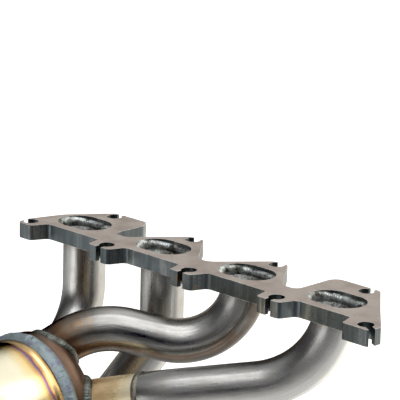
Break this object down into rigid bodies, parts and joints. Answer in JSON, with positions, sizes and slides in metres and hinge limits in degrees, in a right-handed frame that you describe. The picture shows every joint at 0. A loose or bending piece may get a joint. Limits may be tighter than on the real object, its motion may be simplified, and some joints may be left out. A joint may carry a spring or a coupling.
{
  "type": "exhaust manifold",
  "caption": "Tubular exhaust manifold: flat head flange with racetrack ports, bent runners gathered in a domed cap, and a built-in converter with outlet cone, pipe and flange.",
  "frame": {"origin": "on the head flange's mating face, at the axis of the middle stud hole of the edge nearest the converter", "axes": "+X along the row of ports towards the port with the longest runner, +Z out of the mating face towards the cylinder head, -Y from the cap down the converter to the outlet"},
  "size_m": [0.3567, 0.3875, 0.1613],
  "materials": {
    "flange_steel": "ground plate steel with dark cut edges",
    "tube_steel": "satin stainless tube, brown and gold heat tint near the welds",
    "cap_steel": "pressed stainless, brown heat tint",
    "shell_steel": "polished stainless, straw and purple heat tint near the welds",
    "weld_metal": "rippled weld, grey-blue oxide",
    "bung_steel": "turned stainless",
    "brick_ceramic": "matte honeycomb with a washcoat",
    "mat_fibre": "intumescent fibre mat",
    "mesh_wire": "knitted wire"
  },
  "bodies": {
    "root": {"head_flange": "flange_steel", "runner_1_tube": "tube_steel", "runner_2_tube": "tube_steel", "runner_3_tube": "tube_steel", "runner_4_tube": "tube_steel", "runner_4_stub": "tube_steel", "runner_4_butt_weld": "weld_metal", "port_weld_1": "weld_metal", "port_weld_2": "weld_metal", "port_weld_3": "weld_metal", "port_weld_4": "weld_metal", "collector_cap": "cap_steel", "cap_weld_1": "weld_metal", "cap_weld_2": "weld_metal", "cap_weld_3": "weld_metal", "cap_weld_4": "weld_metal", "cap_weld_band": "weld_metal", "converter_shell": "shell_steel", "catalyst_brick": "brick_ceramic", "support_mat": "mat_fibre", "front_mesh_seal": "mesh_wire", "rear_mesh_seal": "mesh_wire", "outlet_cone": "shell_steel", "outlet_cone_weld": "weld_metal", "outlet_pipe": "tube_steel", "outlet_pipe_weld": "weld_metal", "outlet_flange": "flange_steel", "outlet_flange_weld": "weld_metal", "front_sensor_bung": "bung_steel", "front_bung_weld": "weld_metal", "rear_sensor_bung": "bung_steel", "rear_bung_weld": "weld_metal"}
  },
  "joints": []
}
